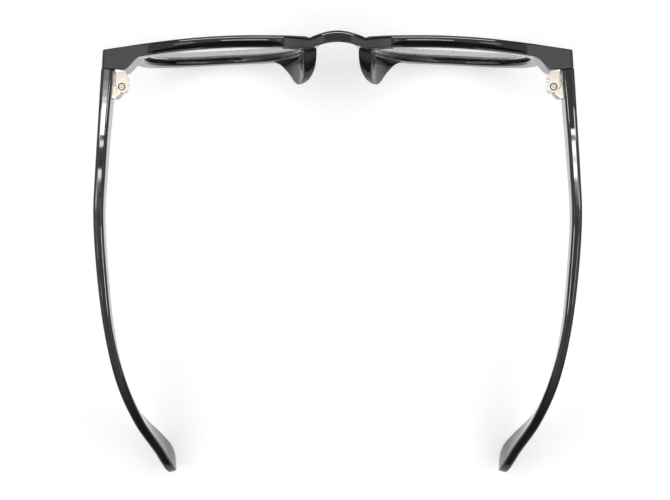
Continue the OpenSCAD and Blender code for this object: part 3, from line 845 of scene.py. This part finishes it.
def hinge_screw():
    """Slotted screw: two half heads on a disc, and the shaft."""
    top = BARREL_H / 2 - SCREW_LOW
    reach = math.degrees(math.asin(SLOT_W / 2 / HEAD_R))
    half = arc(HEAD_R, reach, 180 - reach, 24)
    other = [(-x, -y) for x, y in half]
    heads = [prism(h, top - SLOT_D - 0.05, top, HEAD_EDGE) for h in (half, other)]
    return joined(heads + [
        round_pin(HEAD_R - 0.01, top - HEAD_H + 0.05, top - SLOT_D, 0.03),
        round_pin(SCREW_R - 0.01, -BARREL_H / 2 + 0.1, top - HEAD_H + 0.1, 0.08)])


# Materials

def new_material(name):
    material = bpy.data.materials.new(name)
    material.use_nodes = True
    tree = material.node_tree
    tree.nodes.clear()
    shader = tree.nodes.new("ShaderNodeBsdfPrincipled")
    output = tree.nodes.new("ShaderNodeOutputMaterial")
    tree.links.new(shader.outputs["BSDF"], output.inputs["Surface"])
    return material, tree, shader


def noise(tree, scale, detail, stretch=(1, 1, 1)):
    """Noise over the object's own coordinates, in metres, so that scale is per metre."""
    place = tree.nodes.new("ShaderNodeTexCoord")
    mapping = tree.nodes.new("ShaderNodeMapping")
    mapping.inputs["Scale"].default_value = stretch
    node = tree.nodes.new("ShaderNodeTexNoise")
    node.inputs["Scale"].default_value = scale
    node.inputs["Detail"].default_value = detail
    tree.links.new(place.outputs["Object"], mapping.inputs["Vector"])
    tree.links.new(mapping.outputs["Vector"], node.inputs["Vector"])
    return node.outputs["Fac"]


def ramp(tree, value, stops):
    node = tree.nodes.new("ShaderNodeValToRGB")
    elements = node.color_ramp.elements
    while len(elements) < len(stops):
        elements.new(0.5)
    for element, (place, colour) in zip(elements, stops):
        element.position = place
        element.color = (*colour, 1)
    tree.links.new(value, node.inputs["Fac"])
    return node.outputs["Color"]


def grey(v):
    return (v, v, v)


def bump(tree, shader, heights):
    """Chained bumps, each from a height, its strength and its depth in metres."""
    normal = None
    for height, strength, depth in heights:
        node = tree.nodes.new("ShaderNodeBump")
        node.inputs["Strength"].default_value = strength
        node.inputs["Distance"].default_value = depth
        tree.links.new(height, node.inputs["Height"])
        if normal:
            tree.links.new(normal, node.inputs["Normal"])
        normal = node.outputs["Normal"]
    tree.links.new(normal, shader.inputs["Normal"])


def acetate():
    """Polished black acetate: deep black with faint clouding, polishing ripples and dust."""
    material, tree, shader = new_material("acetate")
    tones = [(0.3, (0.006, 0.006, 0.0065)), (0.7, (0.012, 0.012, 0.0125))]
    tree.links.new(ramp(tree, noise(tree, 90, 4), tones), shader.inputs["Base Color"])
    tree.links.new(ramp(tree, noise(tree, 220, 3), [(0.3, grey(0.01)), (0.7, grey(0.04))]),
                   shader.inputs["Roughness"])
    shader.inputs["IOR"].default_value = 1.5
    ripples, dust = noise(tree, 160, 1), noise(tree, 3000, 2)
    bump(tree, shader, [(ripples, 0.15, 0.00001), (dust, 0.1, 0.000003)])
    return material


def lens_glass():
    """Clear lens with the faintest smears."""
    material, tree, shader = new_material("lens_clear")
    tones = [(0.35, (0.97, 0.985, 0.98)), (0.65, (0.985, 0.99, 0.99))]
    tree.links.new(ramp(tree, noise(tree, 60, 3), tones), shader.inputs["Base Color"])
    shader.inputs["Roughness"].default_value = 0.0
    shader.inputs["IOR"].default_value = 1.5
    shader.inputs["Transmission Weight"].default_value = 1.0
    shader.inputs["Alpha"].default_value = 0.9
    return material


def linked_math(tree, operation, a, b=0.0):
    node = tree.nodes.new("ShaderNodeMath")
    node.operation = operation
    for socket, value in zip(node.inputs, (a, b)):
        if isinstance(value, (int, float)):
            socket.default_value = value
        else:
            tree.links.new(value, socket)
    return node.outputs["Value"]


def facing_back(tree):
    """1 on faces that look straight to the rear of the piece's own space, 0 on the others: where
    the leaf gets painted shade.
    """
    parts = tree.nodes.new("ShaderNodeSeparateXYZ")
    tree.links.new(tree.nodes.new("ShaderNodeTexCoord").outputs["Normal"], parts.inputs["Vector"])
    return ramp(tree, parts.outputs["Y"], [(0.3, grey(0)), (0.6, grey(1))])


def round_screw(tree):
    """1 in the narrow ring between a screw's head and its seat, 0 elsewhere: where painted shade
    and dirt darken the gap.
    """
    parts = tree.nodes.new("ShaderNodeSeparateXYZ")
    tree.links.new(tree.nodes.new("ShaderNodeTexCoord").outputs["Object"], parts.inputs["Vector"])
    flat = tree.nodes.new("ShaderNodeCombineXYZ")
    tree.links.new(linked_math(tree, "ABSOLUTE", parts.outputs["X"]), flat.inputs["X"])
    tree.links.new(parts.outputs["Y"], flat.inputs["Y"])
    apart = tree.nodes.new("ShaderNodeVectorMath")
    apart.operation = "DISTANCE"
    tree.links.new(flat.outputs["Vector"], apart.inputs[0])
    apart.inputs[1].default_value = (HINGE_AT[0] / 1000, (HINGE_AT[1] + ORIGIN_Y) / 1000, 0)
    # Half the distance in millimetres, so that the whole ring lies within the ramp
    radius = linked_math(tree, "MULTIPLY", apart.outputs["Value"], 500)
    low, high, fade = 0.5 * (HEAD_R - 0.12), 0.5 * (HEAD_R + HEAD_GAP + 0.03), 0.02
    return ramp(tree, radius, [(low - fade, grey(0)), (low, grey(1)),
                               (high, grey(1)), (high + fade, grey(0))])


def blended(tree, share, colour, other):
    """The colour, turned into the other one by the share."""
    blend = tree.nodes.new("ShaderNodeMix")
    blend.data_type = "RGBA"
    tree.links.new(share, blend.inputs["Factor"])
    tree.links.new(colour, blend.inputs["A"])
    blend.inputs["B"].default_value = (*other, 1)
    return blend.outputs["Result"]


def metal(name, light, dark, rough, shade_and_dirt=None):
    """Plated metal with slightly varied tone, grain and sheen, darkened with painted shade and dirt
    where a share says so.
    """
    material, tree, shader = new_material(name)
    shader.inputs["Metallic"].default_value = 1.0
    tone = ramp(tree, noise(tree, 500, 2), [(0.3, dark), (0.65, light)])
    # Painted shade, and dirt round the screws, blended into the tone by the share
    if shade_and_dirt:
        tone = blended(tree, shade_and_dirt(tree), tone, PAINTED_SHADE_AND_DIRT)
    tree.links.new(tone, shader.inputs["Base Color"])
    sheen = [(0.3, grey(rough - 0.03)), (0.7, grey(rough + 0.03))]
    tree.links.new(ramp(tree, noise(tree, 700, 2), sheen), shader.inputs["Roughness"])
    bump(tree, shader, [(noise(tree, 4000, 2, (1, 1, 6)), 0.1, 0.0000003)])
    return material


# Colour of painted shade on the metal: on the temple leaf's rear faces, and with dirt in the ring
# round each screw's head
PAINTED_SHADE_AND_DIRT = (0.03, 0.022, 0.016)
ACETATE = acetate()
LENS = lens_glass()
# The ring round each screw's head is darkened with painted shade and dirt
HINGE_GOLD = metal("hinge_gold", (0.93, 0.85, 0.77), (0.9, 0.8, 0.71), 0.12, round_screw)
# The temple leaf's rear faces are darkened with painted shade
LEAF_GOLD = metal("leaf_gold", (0.9, 0.84, 0.7), (0.86, 0.78, 0.62), 0.12, facing_back)
# The screw's own ring is darkened with painted shade and dirt too
SCREW_GOLD = metal("screw_gold", (0.9, 0.82, 0.7), (0.84, 0.74, 0.6), 0.12, round_screw)
CORE_METAL = metal("core_metal", (0.62, 0.61, 0.58), (0.48, 0.47, 0.45), 0.35)


# The pieces

def on_both_sides(name, shape, material, slot, bodies, sharp=35):
    """The piece on the wearer's left, and its mirror image on the right."""
    points, faces = shape
    for side, placed_points, body in zip(("_left", "_right"), (points, flip(points)), bodies):
        make(name + side + "_fine", placed_points, faces, material, body, name + side, slot, sharp)


FRONT = ("front", "front")
ARMS = ("left_arm", "right_arm")

make("front_frame_fine", *front_mesh(), ACETATE, "front", "front_frame", "acetate_black", 50)
on_both_sides("nose_pad", ribbon(pad_sections()), ACETATE, "acetate_black", FRONT, 60)
on_both_sides("lens", loft(lens_sections()), LENS, "lens_clear", FRONT, 40)
on_both_sides("temple", loft(temple_sections()), ACETATE, "acetate_black", ARMS, 40)
on_both_sides("front_hinge", front_hinge(), HINGE_GOLD, "hinge_gold", FRONT)
on_both_sides("temple_hinge", temple_hinge(), LEAF_GOLD, "hinge_gold", ARMS)
on_both_sides("hinge_screw", hinge_screw(), SCREW_GOLD, "screw_gold", FRONT)
for side in ("left", "right"):
    mesh = frame["nodes"]["temple_core_" + side].data
    mesh.materials.clear()
    mesh.materials.append(CORE_METAL)


# Floor, light and camera

FLOOR_LIFT = 0.45
FLOOR_HALF = 4.0
# How far the floor lies below the object, so that the two don't share a plane
FLOOR_DROP = 0.00002
# What the surroundings send down: dim near the horizon, brighter overhead
WORLD_LOW, WORLD_HIGH = 0.1, 0.8
# Height of the lamps and of the black flag over the floor
RIG_Z = 1.0
# The flag's half width, its front and rear edges, and how square its front corners are
FLAG_HALF, FLAG_FRONT, FLAG_REAR, FLAG_POWER = 0.48, -0.215, -0.105, 2.5
# The photograph's camera: lens in millimetres, and place from the front's own origin
CAMERA_LENS = 122.4
CAMERA_AT = (0.00083, 0.065784, 0.744)
# Lamps on both sides that only the gloss shows: name, place, size and radiance
PAIRED = [
    ("dots_outer", (0.29, -0.25, RIG_Z), (0.1, 0.02), 12),
    ("hinge_light", (0.081, -0.064, 0.2), (0.022, 0.018), 0.9),
    ("tube", (0.9, 0.075, RIG_Z), (1.4, 0.09), 18)]
# Lamps that only the tops of the temples show
TEMPLE_LAMPS = [
    ("temple_top", (0.192, 0.07075, RIG_Z), (0.04, 0.0965), 25),
    ("temple_top_end", (0.2, 0.125, RIG_Z), (0.022, 0.012), 5),
    ("temple_top_end", (0.197, 0.136, RIG_Z), (0.024, 0.01), 20),
    ("temple_top_start", (0.185, -0.0335, RIG_Z), (0.04, 0.023), 3.5),
    ("temple_top_start", (0.185, -0.014, RIG_Z), (0.04, 0.016), 6),
    ("temple_top_start", (0.185, 0.001, RIG_Z), (0.04, 0.014), 9),
    ("temple_top_start", (0.185, 0.01525, RIG_Z), (0.04, 0.0145), 15),
    ("temple_top_right", (-0.199, 0.11, RIG_Z), (0.025, 0.018), 25),
    ("temple_top_right", (-0.2, 0.125, RIG_Z), (0.022, 0.012), 5),
    ("temple_top_right", (-0.197, 0.141, RIG_Z), (0.026, 0.02), 25)]


def floor_material():
    """White paper, lifted a little for the rays that show it, so that its shadows stay pale."""
    material, tree, shader = new_material("floor_paper")
    tree.links.new(ramp(tree, noise(tree, 3, 2), [(0.3, grey(0.79)), (0.7, grey(0.81))]),
                   shader.inputs["Base Color"])
    shader.inputs["Roughness"].default_value = 0.9
    shader.inputs["Specular IOR Level"].default_value = 0.0
    rays = tree.nodes.new("ShaderNodeLightPath").outputs
    bounced = linked_math(tree, "ADD", rays["Is Glossy Ray"], rays["Is Transmission Ray"])
    seen = linked_math(tree, "MAXIMUM", rays["Is Camera Ray"], bounced)
    shader.inputs["Emission Color"].default_value = (1, 1, 1, 1)
    lift = linked_math(tree, "MULTIPLY", seen, FLOOR_LIFT)
    tree.links.new(lift, shader.inputs["Emission Strength"])
    return material


def stage_mesh(name, points, faces, material):
    mesh = bpy.data.meshes.new(name)
    mesh.from_pydata(points, [], faces)
    mesh.materials.append(material)
    piece = bpy.data.objects.new(name, mesh)
    bpy.context.scene.collection.objects.link(piece)


def floor():
    corners = [(x * FLOOR_HALF, y * FLOOR_HALF, -FLOOR_DROP)
               for x, y in [(-1, -1), (1, -1), (1, 1), (-1, 1)]]
    stage_mesh("floor", corners, [[0, 1, 2, 3]], floor_material())


def flag():
    """Black card over the rims, which darkens the reflection in the middle of their tops."""
    material, tree, shader = new_material("flag_black")
    shader.inputs["Base Color"].default_value = (0.01, 0.01, 0.01, 1)
    shader.inputs["Specular IOR Level"].default_value = 0.0
    points = []
    for a in range(180, 361, 6):
        reach = max(0.0, 1 - abs(cosd(a)) ** FLAG_POWER) ** (1 / FLAG_POWER)
        points.append((FLAG_HALF * cosd(a), mix(FLAG_REAR, FLAG_FRONT, reach), RIG_Z))
    stage_mesh("flag", points, [list(range(len(points)))], material)


def lamp(name, place, size, radiance, gloss_only=True, tilt=0):
    """Rectangular lamp facing down, or turned by tilt to face the object from the front."""
    data = bpy.data.lights.new(name, "AREA")
    data.shape = "RECTANGLE"
    data.size, data.size_y = size
    data.energy = radiance * math.pi * size[0] * size[1]
    piece = bpy.data.objects.new(name, data)
    bpy.context.scene.collection.objects.link(piece)
    piece.location = place
    piece.rotation_euler = (math.radians(tilt), 0, 0)
    piece.visible_diffuse = piece.visible_transmission = not gloss_only


def lamps():
    """Two soft panels overhead, and lamps that only the gloss shows."""
    for side in (-1, 1):
        lamp("ceiling", (side * 1.33, -0.05, RIG_Z), (1.75, 1.1), 1.05, False)
        for name, (x, y, z), size, radiance in PAIRED:
            lamp(name, (side * x, y, z), size, radiance)
    lamp("front_strip", (0, -1.35, 0.85), (1.0, 0.3), 22, tilt=58)
    for x in range(-120, 121, 12):
        lamp("dot", (x / 1000, -0.25, RIG_Z), (0.005, 0.035), 30)
    for name, place, size, radiance in TEMPLE_LAMPS:
        lamp(name, place, size, radiance)


def world():
    """A soft dome for light and gloss, plain white where it is seen or shows through a lens."""
    studio = bpy.data.worlds.new("studio")
    bpy.context.scene.world = studio
    studio.use_nodes = True
    tree = studio.node_tree
    place = tree.nodes.new("ShaderNodeTexCoord")
    parts = tree.nodes.new("ShaderNodeSeparateXYZ")
    tree.links.new(place.outputs["Generated"], parts.inputs["Vector"])
    tone = ramp(tree, parts.outputs["Z"], [(0.35, grey(WORLD_LOW)), (0.8, grey(WORLD_HIGH))])
    rays = tree.nodes.new("ShaderNodeLightPath").outputs
    seen = linked_math(tree, "MAXIMUM", rays["Is Camera Ray"], rays["Is Transmission Ray"])
    tree.links.new(blended(tree, seen, tone, (1, 1, 1)), tree.nodes["Background"].inputs["Color"])


def camera():
    """Straight above the object, with the front at the top of the picture."""
    data = bpy.data.cameras.new("photo")
    data.sensor_width = 36
    data.lens = CAMERA_LENS
    data.clip_start = 0.01
    cam = bpy.data.objects.new("photo", data)
    bpy.context.scene.collection.objects.link(cam)
    cam.location = (CAMERA_AT[0], CAMERA_AT[1] + ORIGIN_Y / 1000, CAMERA_AT[2])
    cam.rotation_euler = (0, 0, math.pi)
    bpy.context.scene.camera = cam


floor()
flag()
lamps()
world()
camera()
bpy.context.scene.view_settings.view_transform = "Standard"
